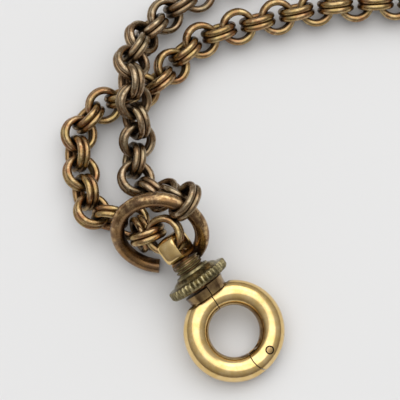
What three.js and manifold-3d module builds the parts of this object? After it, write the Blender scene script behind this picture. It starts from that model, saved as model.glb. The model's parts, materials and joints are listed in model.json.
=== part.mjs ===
// Gentleman's pocket watch chain: a swivel clasp with a knurled lock nut, an open
// jump ring, and a chain of double-ring links that lies folded in two strands.
// Millimetres, +Z up. The table is z = 0.
import * as THREE from 'three';
import { mergeVertices } from 'three/addons/utils/BufferGeometryUtils.js';
import Module from 'manifold-3d';

const wasm = await Module();
wasm.setup();

// ---------------------------------------------------------------- driving sizes
const WIRE_R = 0.5;
const LINK_R = 2.5;
const CLASP_LINK_R = 2.6;
const RING_LINK_R = 2.7;
const PAIR_STEP = 0.94;
const LINK_PITCH = 3.3;
const LINK_ROLL = 0.5;

const JUMP_RING_R = 6.64;
const JUMP_WIRE_R = 1.15;
const JUMP_GAP_START = -91;
const JUMP_GAP = 20;
const JUMP_CENTRE = [-6.3, -7.2, 6.8];
const JUMP_TILT = 52.5;
const JUMP_LEAN = -4.6;

const CLASP_R = 6.0;
const CLASP_WIRE_R = 1.97;
const CLASP_YAW = 126.4;
const CLASP_PITCH = 15;
const CLASP_CENTRE = [5.32, -22.05, 3.56];
const SPLIT_GAP = 0.3;
const GATE_SPLIT = 174;
const HINGE_ANGLE = 205.6;
const KNUCKLE_R = 3.05;
const KNUCKLE_GAP = 0.3;
const PIN_R = 0.5;
const PIN_GAP = 0.2;
const TONGUE_T = 1.2;
const TONGUE_R = 1.4;
const TONGUE_GAP = 0.3;

const FLANGE_R = 3.4;
const FLANGE_START = 6.9;
const GATE_FLANGE_END = 8.3;
const FLANGE_END = 8.6;
const NUT_START = 8.9;
const NUT_RIM = 1.6;
const NUT_R = 5.1;
const NUT_TEETH = 40;
const TOOTH_DEPTH = 0.22;
const NUT_SHOULDER_R = 4.1;
const NUT_TOP_R = 2.75;
const NUT_SHOULDER = 1.1;
const NUT_BORE_R = 2.35;
const THREAD_R = 2.0;
const COLLAR_START = 12.9;
const COLLAR_R = 2.1;
const STEM_END = 13.5;

const BAIL_ROLL = 55;
const BAIL_START = 13.8;
const BAIL_END = 18.1;
const BAIL_BASE = 0.7;
const BAIL_T = 0.6;
const BAIL_HALF = 2.75;
const BAIL_WIDTH = 3.0;
const BAIL_SQUARENESS = 3;
const RIVET_R = 0.9;
const RIVET_GAP = 0.3;
const RIVET_HEAD_R = 1.45;
const RIVET_HEAD_T = 0.35;

const STORED_R = 2.6;
const STORED_STEPS = 100;

// The links that tumble down from the rings, each with its ring radius, centre and axis.
const FIRST_LINKS = [
  ['clasp_link', CLASP_LINK_R, [-5.51, -7.85, 8.34], [-0.33, -0.35, 0.88]],
  ['ring_link', RING_LINK_R, [-2.32, -3.18, 11.12], [-0.79, 0.35, 0.5]],
  ['hub_link', LINK_R, [-3.75, -1.77, 7.84], [0.49, 0.86, 0.16]],
  ['right_link_01', LINK_R, [-5.76, -0.81, 5.97], [0.58, -0.5, -0.64]],
  ['right_link_02', LINK_R, [-7.84, 0.12, 3.51], [-0.64, -0.73, 0.24]],
  ['right_link_03', LINK_R, [-10.18, 2.58, 3.82], [0.38, 0.12, 0.92]],
  ['right_link_04', LINK_R, [-10.57, 5.68, 3.09], [0.91, -0.04, -0.41]],
  ['left_link_01', LINK_R, [-8.2, -7.43, 6.86], [-0.34, 0.87, 0.35]],
  ['left_link_02', LINK_R, [-9.16, -6.46, 3.68], [0.9, 0.4, -0.17]],
  ['left_link_03', LINK_R, [-10.97, -4.28, 2.92], [0.05, 0.07, 1]],
  ['left_link_04', LINK_R, [-14.32, -3.78, 3.15], [0.14, 0.97, -0.19]],
  ['left_link_05', LINK_R, [-17.18, -2.76, 3.48], [0.36, 0.28, 0.89]],
];

// Hand-chosen points that each strand lies along, from there outwards.
const RIGHT_STRAND = [
  [-10.1, 7.3, 3.3], [-9.9, 9, 4.1], [-10.2, 11.8, 6.0], [-10.7, 14.8, 8.2],
  [-11.0, 18, 9.4], [-10.9, 21.2, 8.6], [-10.1, 24.4, 6.3], [-8.2, 27.7, 4.1],
  [-4.8, 31.3, 3.1], [-0.8, 34.1, 3], [3.3, 35.9, 3], [7.5, 37.4, 3], [12, 38.8, 3],
];
const LEFT_STRAND = [
  [-17.8, -1.1, 3], [-18.4, 1, 3], [-19.1, 4, 3], [-19.8, 7.2, 3], [-19.6, 10.5, 3],
  [-17.9, 13.3, 3], [-15.2, 15.4, 3], [-11.5, 16.8, 3], [-8, 18.2, 3], [-5.3, 20.5, 3],
  [-3.4, 23.4, 3], [-0.7, 25.8, 3], [2.8, 27.6, 3], [7, 28.8, 3], [12, 30.2, 3],
  [17.5, 31.6, 3], [23, 32.4, 3], [30, 33, 3], [36, 33, 3], [40, 33.1, 3],
];
const RIGHT_FIRST = 5;
const LEFT_FIRST = 6;
const RIGHT_LINKS = 15;
const LEFT_LINKS = 28;
// The stored length goes on from the right strand, round a loop, and comes back
// beside the left strand's end.
const STORED_ROUTE = [
  [3.7, 35.9], [8, 37.7], [14, 39.2], [21, 40.2], [28, 40.6], [35, 41.4], [41.5, 44],
  [46.5, 49], [49, 55.5], [49, 62.5], [46.2, 69], [41, 73.5], [34.5, 75.3], [28, 74],
  [23, 70], [20.4, 64.4], [17.2, 61.2], [13.6, 63.2], [13.8, 68.4], [17.6, 75],
  [24.5, 80.3], [33.5, 82.3], [43, 80.6], [51, 75.2], [55.6, 67], [56.4, 57.5],
  [54.5, 48.3], [50.3, 40.6], [45.4, 36], [39.6, 33.8],
];

// ---------------------------------------------------------------- materials
const finish = (color, roughness) => new THREE.MeshStandardMaterial({ color, roughness, metalness: 1 });
const antiqueBrass = finish(0x7d6440, 0.36);
const greyedBrass = finish(0x6b5c46, 0.38);
const agedBronze = finish(0x80582f, 0.33);
const greenBrass = finish(0x77704a, 0.45);
const polishedGold = finish(0xd9a54f, 0.16);
const pinSteel = finish(0x6b5a46, 0.4);

// ---------------------------------------------------------------- helpers
const rad = THREE.MathUtils.degToRad;
const Y_AXIS = new THREE.Vector3(0, 1, 0);
const Z_AXIS = new THREE.Vector3(0, 0, 1);
const digits = (number) => String(number).padStart(2, '0');

function toGeometry(solid) {
  const made = solid.getMesh();
  const geometry = new THREE.BufferGeometry();
  const points = new Float32Array(made.numVert * 3);
  for (let i = 0; i < made.numVert; i += 1) {
    for (let k = 0; k < 3; k += 1) {
      points[3 * i + k] = made.vertProperties[made.numProp * i + k];
    }
  }
  geometry.setAttribute('position', new THREE.BufferAttribute(points, 3));
  geometry.setIndex([...made.triVerts]);
  geometry.computeVertexNormals();
  return geometry;
}

function named(name, geometry, material) {
  const mesh = new THREE.Mesh(geometry, material);
  mesh.name = name;
  return mesh;
}

// A closed geometry as a solid that can be cut and joined.
function toSolid(geometry) {
  geometry.deleteAttribute('normal');
  geometry.deleteAttribute('uv');
  const merged = mergeVertices(geometry, 1e-4);
  return new wasm.Manifold(new wasm.Mesh({
    numProp: 3,
    vertProperties: merged.attributes.position.array,
    triVerts: new Uint32Array(merged.index.array),
  }));
}

// A cylinder or cone along +X from x = start, with its two end radii.
function barX(start, length, startR, endR, sides) {
  const bar = new THREE.CylinderGeometry(endR, startR, length, sides);
  bar.rotateZ(-Math.PI / 2);
  bar.translate(start + length / 2, 0, 0);
  return toSolid(bar);
}

// A box with its size and its centre.
function block(size, centre = [0, 0, 0]) {
  return toSolid(new THREE.BoxGeometry(...size).translate(...centre));
}

// A flat shape made thick, evenly to both sides of z = 0.
function plate(shape, thickness, curveSegments = 6) {
  const options = { depth: thickness, bevelEnabled: false, curveSegments };
  return new THREE.ExtrudeGeometry(shape, options).translate(0, 0, -thickness / 2);
}

class ArcPath extends THREE.Curve {
  constructor(radius, from, to) {
    super();
    this.radius = radius;
    this.from = from;
    this.to = to;
  }

  getPoint(t, target = new THREE.Vector3()) {
    const angle = rad(this.from + (this.to - this.from) * t);
    return target.set(this.radius * Math.cos(angle), this.radius * Math.sin(angle), 0);
  }
}

// Round wire bent about +Z from one angle to another, counter-clockwise.
function wireArc(ringR, wireR, from, to, sides, steps) {
  const section = new THREE.Shape().absarc(0, 0, wireR, 0, 2 * Math.PI);
  const extrudePath = new ArcPath(ringR, from, to);
  return new THREE.ExtrudeGeometry(section, { extrudePath, steps, curveSegments: sides / 2 });
}

// ---------------------------------------------------------------- double links
// Two wire rings side by side about +Y, grown together where they touch.
function doubleRing(ringR) {
  const open = Math.acos(PAIR_STEP / 2 / WIRE_R);
  const steps = 4;
  const lobe = (centre, from) => {
    const sweep = 2 * Math.PI - 2 * open;
    const points = [];
    for (let i = 0; i <= steps; i += 1) {
      const angle = from + (sweep * i) / steps;
      points.push(new THREE.Vector2(ringR + WIRE_R * Math.cos(angle), centre + WIRE_R * Math.sin(angle)));
    }
    return points;
  };
  const upper = lobe(PAIR_STEP / 2, -Math.PI / 2 + open);
  const lower = lobe(-PAIR_STEP / 2, Math.PI / 2 + open);
  const outline = [...upper, ...lower.slice(1)];
  outline[outline.length - 1] = upper[0].clone();
  return new THREE.LatheGeometry(outline, 13);
}

function placedLink(name, ringR, centre, normal, material) {
  const mesh = named(name, doubleRing(ringR), material);
  mesh.position.set(...centre);
  mesh.quaternion.setFromUnitVectors(Y_AXIS, new THREE.Vector3(...normal).normalize());
  return mesh;
}

// ---------------------------------------------------------------- chain strands
// Each link spans one pitch of the strand's points, rolled a quarter turn from the
// last, as linked rings are.
function addStrand(group, prefix, points, first, last, material) {
  const curve = new THREE.CatmullRomCurve3(points.map((p) => new THREE.Vector3(...p)));
  curve.arcLengthDivisions = 2000;
  const step = LINK_PITCH / curve.getLength();
  for (let i = first; i <= last; i += 1) {
    const start = curve.getPointAt((i - first) * step);
    const end = curve.getPointAt((i - first + 1) * step);
    const tangent = end.clone().sub(start).normalize();
    const centre = start.lerp(end, 0.5);
    const flat = Z_AXIS.clone().projectOnPlane(tangent).normalize();
    const side = new THREE.Vector3().crossVectors(tangent, flat);
    const roll = LINK_ROLL + (i % 2 ? 0 : Math.PI / 2);
    const normal = flat.multiplyScalar(Math.cos(roll)).addScaledVector(side, Math.sin(roll));
    group.add(placedLink(prefix + digits(i), LINK_R, centre, normal, material));
  }
}

// The rest of the chain, stored in a loop beside the strands' far ends.
function storedChain() {
  const points = STORED_ROUTE.map((p) => new THREE.Vector3(p[0], p[1], STORED_R));
  const path = new THREE.CatmullRomCurve3(points);
  const outline = new THREE.Shape().absarc(0, 0, STORED_R, 0, 2 * Math.PI);
  const options = { extrudePath: path, steps: STORED_STEPS, curveSegments: 8 };
  return new THREE.ExtrudeGeometry(outline, options);
}

// ---------------------------------------------------------------- jump ring
function jumpRing() {
  const from = JUMP_GAP_START + JUMP_GAP;
  return wireArc(JUMP_RING_R, JUMP_WIRE_R, from, from + 360 - JUMP_GAP, 12, 40);
}

// ---------------------------------------------------------------- clasp
// In the clasp's own frame the ring lies about +Z and the stem points along +X.
const pinX = CLASP_R * Math.cos(rad(HINGE_ANGLE));
const pinY = CLASP_R * Math.sin(rad(HINGE_ANGLE));
const BIG = 20;

function pinCylinder(radius, height) {
  const cylinder = new THREE.CylinderGeometry(radius, radius, height, 24);
  cylinder.rotateX(Math.PI / 2);
  cylinder.translate(pinX, pinY, 0);
  return toSolid(cylinder);
}

// The straight cut that parts the two halves beside the stem.
function collarSplit() {
  return block([BIG, SPLIT_GAP, BIG], [BIG / 2, 0, 0]);
}

// The flange on one side of the split: side is 1 on the gate and -1 on the fixed half.
function flangeHalf(side, end) {
  const beside = block([BIG, BIG, BIG], [BIG / 2, (side * (BIG + SPLIT_GAP)) / 2, 0]);
  const flange = barX(FLANGE_START, end - FLANGE_START, FLANGE_R - 0.3, FLANGE_R, 28);
  return flange.intersect(beside);
}

// The tongue reaches from the gate's end back over the pin.
function gateTongue() {
  const root = rad(GATE_SPLIT - 8);
  const footX = CLASP_R * Math.cos(root);
  const footY = CLASP_R * Math.sin(root);
  const way = Math.atan2(footY - pinY, footX - pinX);
  const outline = new THREE.Shape()
    .absarc(pinX, pinY, TONGUE_R, way + Math.PI / 2, way + 1.5 * Math.PI)
    .absarc(footX, footY, TONGUE_R, way - Math.PI / 2, way + Math.PI / 2);
  return toSolid(plate(outline, TONGUE_T)).subtract(pinCylinder(PIN_R + PIN_GAP, BIG));
}

function gateHalf() {
  const arc = toSolid(wireArc(CLASP_R, CLASP_WIRE_R, 0, GATE_SPLIT, 16, 44));
  const cheeks = block([2 * BIG, 2 * BIG, TONGUE_T]);
  const knuckle = pinCylinder(KNUCKLE_R + KNUCKLE_GAP, BIG).subtract(cheeks);
  return arc.subtract(knuckle)
    .subtract(collarSplit())
    .add(gateTongue())
    .add(flangeHalf(1, GATE_FLANGE_END));
}

// The slot leaves the tongue room to swing outwards about the pin.
function tongueSlot() {
  const height = TONGUE_T + 2 * TONGUE_GAP;
  const size = [BIG, BIG, height];
  const ahead = block(size, [pinX, pinY + BIG / 2, 0]);
  const outward = block(size, [pinX - BIG / 2, pinY + BIG / 2 - TONGUE_R - TONGUE_GAP, 0]);
  const round = pinCylinder(TONGUE_R + TONGUE_GAP, height);
  const nearPin = pinCylinder(BIG / 3, BIG);
  return ahead.add(outward).add(round).intersect(nearPin);
}

function fixedHalf() {
  const arc = toSolid(wireArc(CLASP_R, CLASP_WIRE_R, GATE_SPLIT, 360, 16, 46));
  const wide = wireArc(CLASP_R, CLASP_WIRE_R + 1, GATE_SPLIT - 2, HINGE_ANGLE - 6, 8, 12);
  const beyondSplit = toSolid(wide).subtract(pinCylinder(KNUCKLE_R, BIG));
  const collar = barX(COLLAR_START, STEM_END - COLLAR_START, COLLAR_R, COLLAR_R, 28);
  const thread = barX(FLANGE_END - 0.1, COLLAR_START - FLANGE_END + 0.2, THREAD_R, THREAD_R, 28);
  const neckEnd = BAIL_START + BAIL_BASE + RIVET_GAP;
  const neck = barX(STEM_END - 0.1, neckEnd - STEM_END + 0.2, RIVET_R, RIVET_R, 20);
  const head = barX(neckEnd, RIVET_HEAD_T, RIVET_HEAD_R, RIVET_HEAD_R - 0.3, 20);
  return arc.subtract(beyondSplit)
    .subtract(collarSplit())
    .subtract(tongueSlot())
    .subtract(pinCylinder(PIN_R + PIN_GAP, BIG))
    .add(flangeHalf(-1, FLANGE_END))
    .add(thread).add(collar).add(neck).add(head);
}

function hingePin() {
  return pinCylinder(PIN_R, 2 * CLASP_WIRE_R - 0.1);
}

function lockNut() {
  const outline = new THREE.Shape();
  const steps = NUT_TEETH * 2;
  for (let i = 0; i < steps; i += 1) {
    const radius = i % 2 ? NUT_R - TOOTH_DEPTH : NUT_R;
    const angle = (2 * Math.PI * i) / steps;
    const place = [radius * Math.cos(angle), radius * Math.sin(angle)];
    if (i === 0) {
      outline.moveTo(...place);
    } else {
      outline.lineTo(...place);
    }
  }
  const rim = plate(outline, NUT_RIM);
  rim.rotateY(Math.PI / 2);
  rim.translate(NUT_START + NUT_RIM / 2, 0, 0);
  const shoulder = barX(NUT_START + NUT_RIM - 0.1, NUT_SHOULDER + 0.1, NUT_SHOULDER_R, NUT_TOP_R, 36);
  const bore = barX(NUT_START - 1, NUT_RIM + NUT_SHOULDER + 2, NUT_BORE_R, NUT_BORE_R, 28);
  return toSolid(rim).add(shoulder).subtract(bore);
}

// A rounded rectangle about the middle of two X limits, as a superellipse.
function roundedLoop(fromX, toX, half) {
  const points = [];
  const steps = 28;
  const power = 2 / BAIL_SQUARENESS;
  for (let i = 0; i < steps; i += 1) {
    const angle = (2 * Math.PI * i) / steps;
    const c = Math.cos(angle);
    const s = Math.sin(angle);
    points.push(new THREE.Vector2(
      (fromX + toX) / 2 + ((toX - fromX) / 2) * Math.sign(c) * Math.abs(c) ** power,
      half * Math.sign(s) * Math.abs(s) ** power,
    ));
  }
  return points;
}

function bail() {
  const outer = roundedLoop(BAIL_START, BAIL_END, BAIL_HALF);
  const inner = roundedLoop(BAIL_START + BAIL_BASE, BAIL_END - BAIL_T, BAIL_HALF - BAIL_T);
  const strap = new THREE.Shape(outer);
  strap.holes.push(new THREE.Path(inner));
  const hole = barX(BAIL_START - 1, BAIL_BASE + 2, RIVET_R + RIVET_GAP, RIVET_R + RIVET_GAP, 20);
  return toSolid(plate(strap, BAIL_WIDTH)).subtract(hole);
}

// ---------------------------------------------------------------- assembly
const chain = new THREE.Group();

const ring = named('jump_ring', jumpRing(), agedBronze);
ring.position.set(...JUMP_CENTRE);
ring.rotation.set(rad(JUMP_TILT), rad(JUMP_LEAN), 0);
chain.add(ring);

const clasp = new THREE.Group();
clasp.position.set(...CLASP_CENTRE);
clasp.rotation.set(0, -rad(CLASP_PITCH), rad(CLASP_YAW), 'ZYX');
clasp.add(named('clasp_fixed_half', toGeometry(fixedHalf()), polishedGold));
clasp.add(named('clasp_gate', toGeometry(gateHalf()), polishedGold));
clasp.add(named('gate_pin', toGeometry(hingePin()), pinSteel));
clasp.add(named('lock_nut', toGeometry(lockNut()), greenBrass));

const bailRoll = new THREE.Group();
bailRoll.rotation.x = rad(BAIL_ROLL);
bailRoll.add(named('swivel_bail', toGeometry(bail()), polishedGold));
clasp.add(bailRoll);
chain.add(clasp);

FIRST_LINKS.forEach(([name, radius, centre, normal]) => {
  const material = /left|clasp/.test(name) ? antiqueBrass : greyedBrass;
  chain.add(placedLink(name, radius, centre, normal, material));
});
addStrand(chain, 'right_link_', RIGHT_STRAND, RIGHT_FIRST, RIGHT_LINKS, greyedBrass);
addStrand(chain, 'left_link_', LEFT_STRAND, LEFT_FIRST, LEFT_LINKS, antiqueBrass);
chain.add(named('stored_chain', storedChain(), antiqueBrass));

// The origin is on the table, under the middle of the whole.
chain.updateMatrixWorld(true);
const extent = new THREE.Box3().setFromObject(chain, true);
const middle = extent.getCenter(new THREE.Vector3());
chain.position.set(-middle.x, -middle.y, -extent.min.z);

export default chain;
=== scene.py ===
# The looks of a pocket watch chain: fine wire links, an open jump ring and a gold swivel
# clasp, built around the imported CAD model. Metres, +Z up.
import json
import math
import random

import bpy
import numpy as np
from mathutils import Matrix, Vector


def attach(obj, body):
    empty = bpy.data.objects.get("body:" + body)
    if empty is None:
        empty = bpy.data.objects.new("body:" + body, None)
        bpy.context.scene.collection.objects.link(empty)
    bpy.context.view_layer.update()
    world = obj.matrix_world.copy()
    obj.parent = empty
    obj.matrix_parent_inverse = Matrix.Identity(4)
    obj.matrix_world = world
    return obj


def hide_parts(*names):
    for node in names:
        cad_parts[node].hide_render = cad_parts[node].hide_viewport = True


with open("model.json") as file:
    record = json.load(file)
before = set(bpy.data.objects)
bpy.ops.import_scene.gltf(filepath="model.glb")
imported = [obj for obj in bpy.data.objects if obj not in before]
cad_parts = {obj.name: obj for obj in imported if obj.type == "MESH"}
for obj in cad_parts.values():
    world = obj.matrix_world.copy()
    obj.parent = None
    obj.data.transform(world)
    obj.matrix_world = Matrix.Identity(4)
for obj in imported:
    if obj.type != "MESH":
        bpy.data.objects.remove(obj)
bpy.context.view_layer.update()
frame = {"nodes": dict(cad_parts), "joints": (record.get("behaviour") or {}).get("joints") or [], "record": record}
rng = random.Random(11)

MM = 0.001
joints = {joint["name"]: joint for joint in frame["joints"]}
body_of_node = {}
for body_name, members in frame["record"]["behaviour"]["bodies"].items():
    for member in members:
        body_of_node[member] = body_name

# ---------------------------------------------------------------- sizes, in millimetres
# Links: two wire rings side by side. CAD_WIRE is the wire radius of the CAD links.
CAD_WIRE = 0.5
LINK_WIRE = 0.55
PAIR_HALF = 0.51
LINK_WOBBLE = 0.006

# The folded rest of the chain, along its own loop on the table.
STORED_LINK_R = 2.05
STORED_WIRE = 0.5
STORED_PITCH = 3.3
STORED_FREE_END = 2.3
STORED_HEIGHT = 2.62
STORED_ROLL = math.radians(28)
STORED_CURVE_STEPS = 24
STORED_FROM_AIM = [
    (3.7, 35.9), (8, 37.7), (14, 39.2), (21, 40.2), (28, 40.6), (35, 41.4), (41.5, 44),
    (46.5, 49), (49, 55.5), (49, 62.5), (46.2, 69), (41, 73.5), (34.5, 75.3), (28, 74),
    (23, 70), (20.4, 64.4), (17.2, 61.2), (13.6, 63.2), (13.8, 68.4), (17.6, 75),
    (24.5, 80.3), (33.5, 82.3), (43, 80.6), (51, 75.2), (55.6, 67), (56.4, 57.5),
    (54.5, 48.3), (50.3, 40.6), (45.4, 36), (39.6, 33.8),
]

JUMP_R = 6.64
JUMP_WIRE = 1.15
JUMP_GAP = math.radians(20)
JUMP_STEPS = 150
JUMP_SIDES = 28
JUMP_NOSE_STEPS = 6
JUMP_NOSE_ROUNDING = 0.14

# The clasp, in its own frame: the ring lies about Z and the stem points along X.
RING_R = 6.0
RING_WIRE = 1.97
RING_FROM_SWIVEL = 14.0
SEAM_HALF = 0.075
CAD_SPLIT_REACH = 0.17
COLLAR_SPLIT_X = 3.0
GATE_SPLIT = math.radians(174)
HINGE_ANGLE = math.radians(205.6)
HINGE_AT = Vector((math.cos(HINGE_ANGLE), math.sin(HINGE_ANGLE))) * RING_R
KNUCKLE_R = 3.05
KNUCKLE_GAP = 0.3
CLOSED_KNUCKLE_R = KNUCKLE_R + 2 * SEAM_HALF
KNUCKLE_TOLERANCE = 0.06
TONGUE_HALF = 0.7
# Angles about the ring: how near a point is to the gate's end, and how far the end moves.
END_TOLERANCE = 0.003
END_STEP = 0.004
END_LIMIT = 3.4
FLANGE_FROM = 6.9
FLANGE_TO = 8.6
FLANGE_R = 3.1
FLANGE_FLARE = 0.2
FLANGE_SLACK = 0.05
# The inner wall's brown, partly tarnish and partly painted shade, as parts of the wire radius inwards from the
# wire's middle.
INNER_DARK_START = 0.74
INNER_DARK_DEPTH = 0.24
WELD_DISTANCE = 0.002 * MM

NUT_START = 8.9
NUT_BACK = NUT_START + 1.6
NUT_END = NUT_BACK + 1.1
NUT_R = 5.1
NUT_BORE = 2.35
NUT_TEETH = 40
TOOTH_DEPTH = 0.3
THREAD_FROM = 11.0
THREAD_TO = 13.45
THREAD_PITCH = 0.6
THREAD_MEAN_R = 2.14
THREAD_DEPTH = 0.17
THREAD_CORE_R = 1.9

BAIL_START = 13.8
BAIL_END = 18.1
BAIL_HALF = 2.75
BAIL_WIDTH = 3.0
BAIL_T = 0.6
BAIL_CROWN = 0.16
BAIL_POWER = 0.52
BAIL_STEPS = 120

# The point that the camera looks at lies this far from the clasp ring's centre.
CLASP_FROM_AIM = Vector((5.32, -22.05, 3.56)) * MM

# ---------------------------------------------------------------- materials


def new_material(name):
    material = bpy.data.materials.new(name)
    material.use_nodes = True
    tree = material.node_tree
    return material, tree, tree.nodes["Principled BSDF"]


def add_node(tree, kind, **settings):
    node = tree.nodes.new(kind)
    for key, value in settings.items():
        setattr(node, key, value)
    return node


def connect(tree, value, socket):
    """Feeds a socket from another node's output, or sets it to a plain value."""
    if hasattr(value, "links"):
        tree.links.new(value, socket)
    else:
        socket.default_value = value


def noise(tree, coordinates, scale, detail=4.0, roughness=0.55):
    node = add_node(tree, "ShaderNodeTexNoise")
    node.inputs["Scale"].default_value = scale
    node.inputs["Detail"].default_value = detail
    node.inputs["Roughness"].default_value = roughness
    tree.links.new(coordinates, node.inputs["Vector"])
    return node.outputs["Fac"]


def ramp(tree, source, low, high, start=0.0, end=1.0):
    """Source from low to high turned into start to end, and held beyond them."""
    node = add_node(tree, "ShaderNodeMapRange")
    node.inputs["From Min"].default_value = low
    node.inputs["From Max"].default_value = high
    node.inputs["To Min"].default_value = start
    node.inputs["To Max"].default_value = end
    tree.links.new(source, node.inputs["Value"])
    return node.outputs["Result"]


def mix(tree, factor, first, second):
    """A colour between two, by a factor. The colour sockets of Mix are 6 and 7, out at 2."""
    node = add_node(tree, "ShaderNodeMix", data_type="RGBA")
    for index, value in ((0, factor), (6, first), (7, second)):
        connect(tree, value, node.inputs[index])
    return node.outputs[2]


def math_node(tree, operation, first, second):
    node = add_node(tree, "ShaderNodeMath", operation=operation)
    connect(tree, first, node.inputs[0])
    connect(tree, second, node.inputs[1])
    return node.outputs[0]


# The brown of the clasp's stain mask: tarnish on the stem's foot, tarnish and painted shade and reflection on the
# ring's inner wall.
STAIN_AND_SHADE_COLOUR = (0.09, 0.042, 0.022)
# Noise scales, per metre: tarnish patches, blotches in the painted brown, spots worn by rubbing that also make
# painted highlights, dents and grain.
PATCH_SCALE = 420.0
BLOTCH_SCALE = 700.0
RUB_HIGHLIGHT_SCALE = 900.0
DENT_SCALE = 1500.0
GRAIN_SCALE = 2600.0
DENT_DEPTH = 0.00006


def aged_metal(name, base, tint, painted_shade_colour, rub_highlight_colour, rough, rub_highlight_amount=0.5, crevice=0.0016, bump=0.25):
    """Metal with painted shade in its hollows and on its inward faces, a patchy tarnish in two
    tones, and light tops that are partly worn by rubbing and partly painted highlight.

    The pieces' own "relief" is 0 in their hollows and 1 on their tops; their other attribute is
    1 where they are painted brown, partly tarnish and partly painted shade and reflection.
    """
    material, tree, shader = new_material(name)
    coordinates = add_node(tree, "ShaderNodeTexCoord").outputs["Object"]
    patches = ramp(tree, noise(tree, coordinates, PATCH_SCALE), 0.38, 0.62)
    colour = mix(tree, patches, (*base, 1), (*tint, 1))
    # Lighter tops: partly worn by rubbing, partly a painted highlight along the crests.
    rub_and_highlight = ramp(tree, noise(tree, coordinates, RUB_HIGHLIGHT_SCALE, 6.0, 0.7), 0.46, 0.64, 0.0, rub_highlight_amount)
    relief = add_node(tree, "ShaderNodeAttribute", attribute_name="relief").outputs["Fac"]
    rub_and_highlight = math_node(tree, "MULTIPLY", rub_and_highlight, ramp(tree, relief, 0.45, 0.95))
    colour = mix(tree, rub_and_highlight, colour, (*rub_highlight_colour, 1))
    # Painted shade: ambient occlusion and the low relief of inward faces darken the colour.
    hollow = add_node(tree, "ShaderNodeAmbientOcclusion", samples=8)
    hollow.inputs["Distance"].default_value = crevice
    open_sky = ramp(tree, hollow.outputs["AO"], 0.15, 0.85)
    inner = ramp(tree, relief, 0.0, 0.5, 0.35, 1.0)
    lit = math_node(tree, "MULTIPLY", open_sky, inner)
    # Painted brown: partly tarnish, partly painted shade and reflection on the ring's inner wall.
    stain_and_shade = add_node(tree, "ShaderNodeAttribute", attribute_name="stain_and_shade").outputs["Fac"]
    blotch = ramp(tree, noise(tree, coordinates, BLOTCH_SCALE, 5.0, 0.6), 0.3, 0.7, 0.55, 1.0)
    stain_and_shade_amount = math_node(tree, "MULTIPLY", stain_and_shade, blotch)
    colour = mix(tree, stain_and_shade_amount, colour, (*STAIN_AND_SHADE_COLOUR, 1))
    colour = mix(tree, lit, (*painted_shade_colour, 1), colour)
    tree.links.new(colour, shader.inputs["Base Color"])
    shader.inputs["Metallic"].default_value = 1.0
    grain = noise(tree, coordinates, GRAIN_SCALE, 5.0, 0.7)
    roughness = ramp(tree, grain, 0.3, 0.7, rough - 0.07, rough + 0.1)
    dull = ramp(tree, lit, 0.0, 1.0, 0.2, 0.0)
    tree.links.new(math_node(tree, "ADD", roughness, dull), shader.inputs["Roughness"])
    dents = add_node(tree, "ShaderNodeBump")
    dents.inputs["Strength"].default_value = bump
    dents.inputs["Distance"].default_value = DENT_DEPTH
    tree.links.new(noise(tree, coordinates, DENT_SCALE, 6.0, 0.65), dents.inputs["Height"])
    tree.links.new(dents.outputs["Normal"], shader.inputs["Normal"])
    return material


antique_brass = aged_metal(
    "antique_brass", (0.36, 0.25, 0.10), (0.30, 0.15, 0.07), (0.022, 0.011, 0.005),
    (0.76, 0.60, 0.33), 0.24, 0.6)
greyed_brass = aged_metal(
    "greyed_brass", (0.25, 0.185, 0.105), (0.245, 0.15, 0.08), (0.018, 0.010, 0.006),
    (0.64, 0.53, 0.37), 0.23, 0.6)
aged_bronze = aged_metal(
    "aged_bronze", (0.27, 0.15, 0.06), (0.17, 0.10, 0.055), (0.03, 0.014, 0.007),
    (0.80, 0.56, 0.28), 0.22, 0.75, 0.002, 0.3)
green_brass = aged_metal(
    "green_brass", (0.22, 0.175, 0.075), (0.15, 0.125, 0.065), (0.016, 0.012, 0.006),
    (0.70, 0.60, 0.33), 0.28, 0.75, 0.0009, 0.4)
polished_gold = aged_metal(
    "polished_gold", (0.83, 0.60, 0.27), (0.74, 0.51, 0.19), (0.10, 0.035, 0.010),
    (0.94, 0.76, 0.47), 0.15, 0.3, 0.0014, 0.05)
pin_metal = aged_metal(
    "pin_metal", (0.42, 0.27, 0.11), (0.36, 0.25, 0.11), (0.05, 0.03, 0.012),
    (0.66, 0.48, 0.24), 0.4, 0.4)

# ---------------------------------------------------------------- mesh helpers


def add_piece(name, verts, faces, relief, material, body, slot, *replaced, stain_and_shade=None):
    """A smooth mesh piece in the row frame that rides on a body and stands for CAD nodes."""
    mesh = bpy.data.meshes.new(name)
    mesh.from_pydata([tuple(v) for v in verts], [], [tuple(f) for f in faces])
    mesh.validate()
    attribute = mesh.attributes.new("relief", "FLOAT", "POINT")
    attribute.data.foreach_set("value", np.asarray(relief, dtype=np.float32))
    if stain_and_shade is not None:
        stain_and_shade_layer = mesh.attributes.new("stain_and_shade", "FLOAT", "POINT")
        stain_and_shade_layer.data.foreach_set("value", np.asarray(stain_and_shade, dtype=np.float32))
    mesh.polygons.foreach_set("use_smooth", [True] * len(mesh.polygons))
    mesh.materials.append(material)
    piece = bpy.data.objects.new(name, mesh)
    bpy.context.scene.collection.objects.link(piece)
    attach(piece, body)
    if replaced:
        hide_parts(*replaced)
    return piece


def grid_faces(rows, columns, wrap_rows, offset=0):
    """Quads over rows of points, each row a closed loop of columns."""
    faces = []
    last = rows if wrap_rows else rows - 1
    for i in range(last):
        for k in range(columns):
            j = (i + 1) % rows
            m = (k + 1) % columns
            faces.append((offset + i * columns + k, offset + j * columns + k,
                          offset + j * columns + m, offset + i * columns + m))
    return faces


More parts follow.
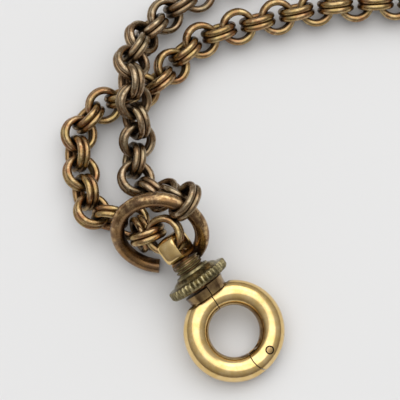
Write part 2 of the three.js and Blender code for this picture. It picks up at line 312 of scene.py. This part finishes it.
def sharpen(piece, angle):
    """Keeps edges steeper than an angle crisp while the rest shades smooth."""
    mesh = piece.data
    mesh.update()
    normals = [p.normal.copy() for p in mesh.polygons]
    beside = {}
    for polygon in mesh.polygons:
        for key in polygon.edge_keys:
            beside.setdefault(key, []).append(polygon.index)
    limit = math.cos(math.radians(angle))
    for edge in mesh.edges:
        near = beside.get(edge.key, [])
        if len(near) == 2 and normals[near[0]].dot(normals[near[1]]) < limit:
            edge.use_edge_sharp = True


# ---------------------------------------------------------------- wire links


def wire_ring(ring_r, wire_r, centre, axis, offset, steps, sides, wobble):
    """Points and relief of one wire ring that lies a little along its axis from centre."""
    across = axis.orthogonal().normalized()
    along = axis.cross(across)
    phase = rng.uniform(0, math.tau)
    verts = []
    relief = []
    for i in range(steps):
        turn = math.tau * i / steps
        out = across * math.cos(turn) + along * math.sin(turn)
        bend = 1 + wobble * math.sin(2 * turn + phase) + 0.5 * wobble * math.sin(3 * turn)
        middle = centre + axis * offset + out * (ring_r * bend * MM)
        for k in range(sides):
            angle = math.tau * k / sides
            radial = out * math.cos(angle) + axis * math.sin(angle)
            verts.append(middle + radial * (wire_r * MM))
            # Relief: higher on the outside of the wire and on the side away from the pair's other ring, for
            # painted highlight; lower between the two rings, for painted shade.
            facing = math.sin(angle) * (1 if offset > 0 else -1)
            relief.append(0.5 + 0.32 * math.cos(angle) + 0.3 * facing)
    return verts, relief


def double_link(ring_r, wire_r, centre, axis, steps=44, sides=14):
    """The two rings of one link as one mesh's points, faces and relief."""
    verts = []
    faces = []
    relief = []
    for side in (-1, 1):
        step = side * PAIR_HALF * MM
        ring_points, ring_relief = wire_ring(ring_r, wire_r, centre, axis, step,
                                             steps, sides, LINK_WOBBLE)
        faces += grid_faces(steps, sides, True, len(verts))
        verts += ring_points
        relief += ring_relief
    return verts, faces, relief


def link_pose(node):
    """The centre, axis and ring radius of a CAD link, from its own points."""
    points = np.array([v.co for v in frame["nodes"][node].data.vertices], float)
    spread = np.cov((points - points.mean(0)).T)
    _, vectors = np.linalg.eigh(spread)
    local = points @ vectors
    middle = vectors @ ((local.max(0) + local.min(0)) / 2)
    radius = (local[:, 2].max() - local[:, 2].min()) / 2 / MM
    return Vector(middle), Vector(vectors[:, 0]).normalized(), radius


for node in sorted(frame["nodes"]):
    if "link" not in node:
        continue
    centre, axis, outer = link_pose(node)
    golden = node.startswith("left") or node == "clasp_link"
    material = antique_brass if golden else greyed_brass
    slot = "antique_brass" if golden else "greyed_brass"
    verts, faces, relief = double_link(outer - CAD_WIRE, LINK_WIRE, centre, axis)
    add_piece(node + "_wires", verts, faces, relief, material, body_of_node[node], slot, node)

# ---------------------------------------------------------------- the clasp's frame
swivel = joints["clasp_swivel"]
clasp_x = Vector(swivel["axis"]).normalized()
clasp_z = Vector(joints["gate_hinge"]["axis"]).normalized()
clasp_y = clasp_z.cross(clasp_x)
clasp_centre = Vector(swivel["pos_m"]) - clasp_x * (RING_FROM_SWIVEL * MM)
clasp_axes = Matrix((clasp_x, clasp_y, clasp_z)).transposed()
to_clasp = Matrix.Translation(clasp_centre) @ clasp_axes.to_4x4()
aim = clasp_centre - CLASP_FROM_AIM

# ---------------------------------------------------------------- stored chain


def smooth_route(points, per_span):
    """A Catmull-Rom curve through points, as closely spaced points."""
    padded = [points[0] * 2 - points[1], *points, points[-1] * 2 - points[-2]]
    route = []
    for a, b, c, d in zip(padded, padded[1:], padded[2:], padded[3:]):
        for i in range(per_span):
            t = i / per_span
            route.append(0.5 * ((2 * b) + (c - a) * t + (2 * a - 5 * b + 4 * c - d) * t * t
                                + (3 * b - a - 3 * c + d) * t ** 3))
    return [*route, points[-1]]


def spaced(route, pitch):
    """Places one pitch apart along a route, with the direction there."""
    places = []
    travelled = 0.0
    wanted = 0.0
    for start, end in zip(route, route[1:]):
        span = (end - start).length
        while span > 0 and travelled + span >= wanted:
            places.append((start.lerp(end, (wanted - travelled) / span),
                           (end - start).normalized()))
            wanted += pitch
        travelled += span
    return places


def stored_links():
    """Single links along the stored loop, the first of them through the strand's end."""
    points = [Vector((aim.x + x * MM, aim.y + y * MM, STORED_HEIGHT * MM))
              for x, y in STORED_FROM_AIM]
    verts = []
    faces = []
    relief = []
    up = Vector((0, 0, 1))
    route = smooth_route(points, STORED_CURVE_STEPS)
    linked = sum((b - a).length for a, b in zip(route, route[1:])) - STORED_FREE_END * MM
    pitch = linked / round(linked / (STORED_PITCH * MM))
    for i, (centre, tangent) in enumerate(spaced(route, pitch)):
        side = tangent.cross(up).normalized()
        roll = STORED_ROLL + (0 if i % 2 else math.pi / 2)
        axis = up * math.cos(roll) + side * math.sin(roll)
        points_more, faces_more, relief_more = double_link(
            STORED_LINK_R, STORED_WIRE, centre, axis, 28, 10)
        faces += [tuple(index + len(verts) for index in face) for face in faces_more]
        verts += points_more
        relief += relief_more
    add_piece("stored_links", verts, faces, relief, antique_brass, "stored",
              "antique_brass", "stored_chain")


stored_links()

# ---------------------------------------------------------------- jump ring


def jump_ring():
    """Thick wire, slightly uneven, with rounded ends at its gap."""
    ring_joint = joints["jump_ring_turn"]
    centre = Vector(ring_joint["pos_m"])
    axis = Vector(ring_joint["axis"]).normalized()
    points = np.array([v.co for v in frame["nodes"]["jump_ring"].data.vertices], float)
    flat = points - np.array(centre)
    flat = flat - np.outer(flat @ np.array(axis), np.array(axis))
    gap_way = -Vector(flat.mean(0))
    across = (gap_way - axis * gap_way.dot(axis)).normalized()
    along = axis.cross(across)
    verts = []
    relief = []
    for i in range(-JUMP_NOSE_STEPS, JUMP_STEPS + JUMP_NOSE_STEPS + 1):
        inside = min(max(i, 0), JUMP_STEPS)
        turn = JUMP_GAP / 2 + (math.tau - JUMP_GAP) * inside / JUMP_STEPS
        over = max(-i, i - JUMP_STEPS, 0) / JUMP_NOSE_STEPS
        wire = JUMP_WIRE * (1 - JUMP_NOSE_ROUNDING * over ** 2) if over < 1 else 0.0
        wire *= 1 + 0.012 * math.sin(5 * turn) + 0.008 * math.sin(11 * turn + 1)
        out = across * math.cos(turn) + along * math.sin(turn)
        middle = centre + out * (JUMP_R * MM)
        for k in range(JUMP_SIDES):
            angle = math.tau * k / JUMP_SIDES
            radial = out * math.cos(angle) + axis * math.sin(angle)
            verts.append(middle + radial * (min(wire, JUMP_WIRE) * MM))
            # Relief: higher on the outside of the wire, for painted highlight; lower on its inside, for painted
            # shade.
            relief.append(0.62 + 0.38 * math.cos(angle))
    faces = grid_faces(JUMP_STEPS + 2 * JUMP_NOSE_STEPS + 1, JUMP_SIDES, False)
    piece = add_piece("jump_ring_wire", verts, faces, relief, aged_bronze,
                      body_of_node["jump_ring"], "aged_bronze", "jump_ring")
    sharpen(piece, 50)


jump_ring()

# ---------------------------------------------------------------- clasp


def finer_mesh(node, levels):
    """A copy of a CAD node's mesh, welded and evenly subdivided, as points and faces."""
    scratch = bpy.data.objects.new("scratch", frame["nodes"][node].data.copy())
    bpy.context.scene.collection.objects.link(scratch)
    weld = scratch.modifiers.new("weld", "WELD")
    weld.merge_threshold = WELD_DISTANCE
    finer = scratch.modifiers.new("finer", "SUBSURF")
    finer.subdivision_type = "SIMPLE"
    finer.levels = levels
    finer.render_levels = levels
    shaped = scratch.evaluated_get(bpy.context.evaluated_depsgraph_get()).to_mesh()
    points = [vertex.co.copy() for vertex in shaped.vertices]
    faces = [tuple(polygon.vertices) for polygon in shaped.polygons]
    scratch.to_mesh_clear()
    bpy.data.objects.remove(scratch)
    return points, faces


def close_seams(place, is_gate):
    """Moves a point of either half so that the collar and hinge splits are fine lines."""
    if place.x > COLLAR_SPLIT_X and abs(place.y) < CAD_SPLIT_REACH:
        place.y = math.copysign(SEAM_HALF, place.y)
    from_pin = place.xy - HINGE_AT
    if abs(from_pin.length - KNUCKLE_R - KNUCKLE_GAP) < KNUCKLE_TOLERANCE:
        place.xy = HINGE_AT + from_pin * (CLOSED_KNUCKLE_R / from_pin.length)
    turn = math.atan2(place.y, place.x)
    at_end = abs(turn - GATE_SPLIT) < END_TOLERANCE
    if is_gate and at_end and abs(place.z) > TONGUE_HALF:
        reach = place.xy.length
        while (place.xy - HINGE_AT).length > CLOSED_KNUCKLE_R and turn < END_LIMIT:
            turn += END_STEP
            place.xy = (reach * math.cos(turn), reach * math.sin(turn))


def round_flange(place, stem):
    """Moves a point near the flange's rim onto its true cone."""
    if FLANGE_FROM - FLANGE_SLACK < place.x < FLANGE_TO + FLANGE_SLACK:
        rim = FLANGE_R + FLANGE_FLARE * (place.x - FLANGE_FROM)
        if stem > 0.93 * rim:
            place.y *= rim / stem
            place.z *= rim / stem


def round_off(mesh, ways):
    """Shades the faces that lie on the torus with the torus's own normals."""
    corners = []
    for polygon in mesh.polygons:
        own = [ways[index] for index in polygon.vertices]
        curved = all(way is not None and way.dot(polygon.normal) > 0.9 for way in own)
        corners += own if curved else [Vector((0, 0, 0))] * len(own)
    mesh.normals_split_custom_set(corners)


def refined(node, name, material, slot, levels=2):
    """A node's own shape on a finer mesh, its ring and flange truly round."""
    points, faces = finer_mesh(node, levels)
    from_world = to_clasp.inverted()
    verts = []
    relief = []
    stain_and_shade = []
    round_way = []
    for point in points:
        local = (from_world @ point) / MM
        stem = math.hypot(local.y, local.z)
        close_seams(local, node == "clasp_gate")
        round_flange(local, stem)
        flat = math.hypot(local.x, local.y)
        from_wire = Vector((flat - RING_R, 0, local.z))
        distance = from_wire.length
        # Relief: highest on the ring's crests, lowest on its inner wall, giving painted highlight and painted
        # shade.
        high = 0.9
        way = None
        if 0.93 * RING_WIRE < distance < 1.02 * RING_WIRE and flat > 0:
            snapped = from_wire * (RING_WIRE / distance)
            factor = (RING_R + snapped.x) / flat
            local = Vector((local.x * factor, local.y * factor, snapped.z))
            high = 0.75 + 0.25 * abs(snapped.z) / RING_WIRE
            flat_way = local.xy.normalized() * snapped.x
            way = clasp_axes @ Vector((flat_way.x, flat_way.y, snapped.z)) / RING_WIRE
            if snapped.x < -0.6 * RING_WIRE:
                high = 0.45
        # The inner wall is painted brown, partly tarnish and partly painted shade and reflection, the extra on its
        # right all painted shade; the foot of the stem is brown too.
        right_side = max((clasp_axes @ local.xy.normalized().to_3d()).x, 0.0)
        inward = (RING_R - flat) / RING_WIRE
        inner_wall = (inward - INNER_DARK_START + INNER_DARK_DEPTH * right_side) / INNER_DARK_DEPTH
        stem_foot = (local.x - 6.3) / 0.9 if stem < 4.5 else 0.0
        stain_and_shade.append(min(max(inner_wall, stem_foot, 0.0), 1.0))
        verts.append(to_clasp @ (local * MM))
        relief.append(high)
        round_way.append(way)
    piece = add_piece(name, verts, faces, relief, material, body_of_node[node], slot, node,
                      stain_and_shade=stain_and_shade)
    sharpen(piece, 32)
    round_off(piece.data, round_way)


def turned(name, profile, material, body, slot, *replaced, segments, wave=None):
    """A turned shape about the clasp's stem: profile is (along, radius) pairs, closed."""
    verts = []
    relief = []
    peak = max(radius for _, radius in profile)
    for along, radius in profile:
        for k in range(segments):
            angle = math.tau * k / segments
            r = radius + (wave(radius, angle) if wave else 0.0)
            place = Vector((along, r * math.cos(angle), r * math.sin(angle)))
            verts.append(to_clasp @ (place * MM))
            # Relief grows with the radius: painted highlight on the rims and tooth tips, painted shade in the
            # grooves.
            relief.append(0.35 + 0.6 * r / peak)
    faces = grid_faces(len(profile), segments, True)
    piece = add_piece(name, verts, faces, relief, material, body, slot, *replaced)
    sharpen(piece, 40)


refined("clasp_fixed_half", "clasp_fixed_half_fine", polished_gold, "polished_gold")
refined("clasp_gate", "clasp_gate_fine", polished_gold, "polished_gold")
refined("gate_pin", "gate_pin_fine", pin_metal, "pin_metal", 1)

nut_profile = [
    (NUT_START, NUT_BORE), (NUT_START, 4.3), (NUT_START + 0.12, 4.75),
    (NUT_START + 0.4, NUT_R - 0.06), (NUT_START + 0.55, NUT_R), (NUT_BACK - 0.25, NUT_R),
    (NUT_BACK - 0.1, NUT_R - 0.08), (NUT_BACK, NUT_R - 0.3), (NUT_BACK, 4.15),
    (NUT_BACK + 0.12, 3.95), (NUT_BACK + 0.5, 3.6), (NUT_END - 0.3, 2.85),
    (NUT_END, 2.7), (NUT_END, NUT_BORE),
]


def knurl(radius, angle):
    """How far the grooves between the teeth cut into the rim."""
    if radius < NUT_R - 0.1:
        return 0.0
    tooth = 0.5 - 0.5 * math.cos(NUT_TEETH * angle)
    return -TOOTH_DEPTH * tooth ** 2


turned("lock_nut_fine", nut_profile, green_brass, body_of_node["lock_nut"], "green_brass",
       "lock_nut", segments=NUT_TEETH * 10, wave=knurl)

thread_profile = [(9.0, THREAD_CORE_R), (9.0, 2.02)]
for step in range(41):
    past = step * THREAD_PITCH / 10
    wave_r = THREAD_MEAN_R + THREAD_DEPTH * math.cos(math.tau * past / THREAD_PITCH)
    thread_profile.append((THREAD_FROM + past, wave_r))
thread_profile.append((THREAD_TO, THREAD_CORE_R))
turned("thread_ridges", thread_profile, green_brass, body_of_node["clasp_fixed_half"],
       "green_brass", segments=64)

# ---------------------------------------------------------------- bail
bail_z = Vector(joints["bail_swing"]["axis"]).normalized()
bail_y = bail_z.cross(clasp_x).normalized()


def bail():
    """The squared strap: domed outside, flat inside, swept round its loop."""
    half_length = (BAIL_END - BAIL_START) / 2 - BAIL_T / 2
    half_height = BAIL_HALF - BAIL_T / 2
    middle = (BAIL_END + BAIL_START) / 2
    section = []
    for i in range(17):
        t = -1 + 2 * i / 16
        section.append((t * BAIL_WIDTH / 2, BAIL_T / 2 - BAIL_CROWN * abs(t) ** 4))
    for i in range(7):
        t = 1 - 2 * i / 6
        section.append((t * BAIL_WIDTH / 2 * 0.97, -BAIL_T / 2 + 0.03 * abs(t) ** 3))
    loop = []
    for i in range(BAIL_STEPS):
        angle = math.tau * i / BAIL_STEPS
        c = math.cos(angle)
        s = math.sin(angle)
        loop.append((middle + half_length * math.copysign(abs(c) ** BAIL_POWER, c),
                     half_height * math.copysign(abs(s) ** BAIL_POWER, s)))
    verts = []
    relief = []
    for i, (x, y) in enumerate(loop):
        before = Vector(loop[i - 1])
        after = Vector(loop[(i + 1) % BAIL_STEPS])
        way = (after - before).normalized()
        normal = Vector((way.y, -way.x))
        for width, out in section:
            place = clasp_x * (x + normal.x * out) + bail_y * (y + normal.y * out)
            verts.append(clasp_centre + (place + bail_z * width) * MM)
            # Relief high on the strap's outer face, for painted highlight, and low on its inner face, for painted
            # shade.
            relief.append(0.95 if out > 0 else 0.4)
    faces = grid_faces(BAIL_STEPS, len(section), True)
    piece = add_piece("swivel_bail_strap", verts, faces, relief, polished_gold,
                      body_of_node["swivel_bail"], "polished_gold", "swivel_bail")
    sharpen(piece, 40)


bail()

# ---------------------------------------------------------------- table, light and camera
TABLE_SIZE = 3.0
TABLE_TOP = -0.00004
bpy.ops.mesh.primitive_plane_add(size=TABLE_SIZE, location=(0, 0, TABLE_TOP))
table = bpy.context.object
table.name = "table_top"
table_paint, _, table_shader = new_material("table_paint")
table_shader.inputs["Base Color"].default_value = (0.745, 0.745, 0.745, 1)
table_shader.inputs["Roughness"].default_value = 0.75
table_shader.inputs["Specular IOR Level"].default_value = 0.2
table.data.materials.append(table_paint)

world = bpy.data.worlds.new("studio")
bpy.context.scene.world = world
world.use_nodes = True
sky = world.node_tree
backdrop = sky.nodes["Background"]
# A wide soft light overhead, a little behind the chain, in a dimmer room.
SOFTBOX_WAY = Vector((-0.04, 0.24, 0.97)).normalized()
direction = add_node(sky, "ShaderNodeTexCoord").outputs["Generated"]
toward = add_node(sky, "ShaderNodeVectorMath", operation="DOT_PRODUCT")
sky.links.new(direction, toward.inputs[0])
toward.inputs[1].default_value = SOFTBOX_WAY
room = ramp(sky, toward.outputs["Value"], 0.0, 0.6)
shade = mix(sky, room, (0.22, 0.20, 0.19, 1), (0.54, 0.54, 0.54, 1))
softbox = ramp(sky, toward.outputs["Value"], 0.70, 0.82)
shade = mix(sky, softbox, shade, (1.84, 1.84, 1.84, 1))
sky.links.new(shade, backdrop.inputs["Color"])


def area_light(name, place, size, power, colour):
    data = bpy.data.lights.new(name, "AREA")
    data.shape = "RECTANGLE"
    data.size = size[0]
    data.size_y = size[1]
    data.energy = power
    data.color = colour
    lamp = bpy.data.objects.new(name, data)
    bpy.context.scene.collection.objects.link(lamp)
    lamp.location = aim + Vector(place)
    lamp.rotation_euler = (-Vector(place)).to_track_quat("-Z", "Y").to_euler()


area_light("window", (0.28, 0.4, 0.6), (0.5, 0.4), 0.5, (1.0, 0.99, 0.98))

ELEVATION = math.radians(75)
DISTANCE = 0.26
VIEW_WIDTH = 0.0645
SENSOR_MM = 36.0
camera_data = bpy.data.cameras.new("camera")
camera = bpy.data.objects.new("camera", camera_data)
bpy.context.scene.collection.objects.link(camera)
bpy.context.scene.camera = camera
camera_data.sensor_width = SENSOR_MM
camera_data.lens = SENSOR_MM * DISTANCE / VIEW_WIDTH
camera_data.clip_start = 0.01
camera.location = aim + Vector((0, -math.cos(ELEVATION), math.sin(ELEVATION))) * DISTANCE
camera.rotation_euler = (math.pi / 2 - ELEVATION, 0, 0)
bpy.context.scene.view_settings.view_transform = "Standard"
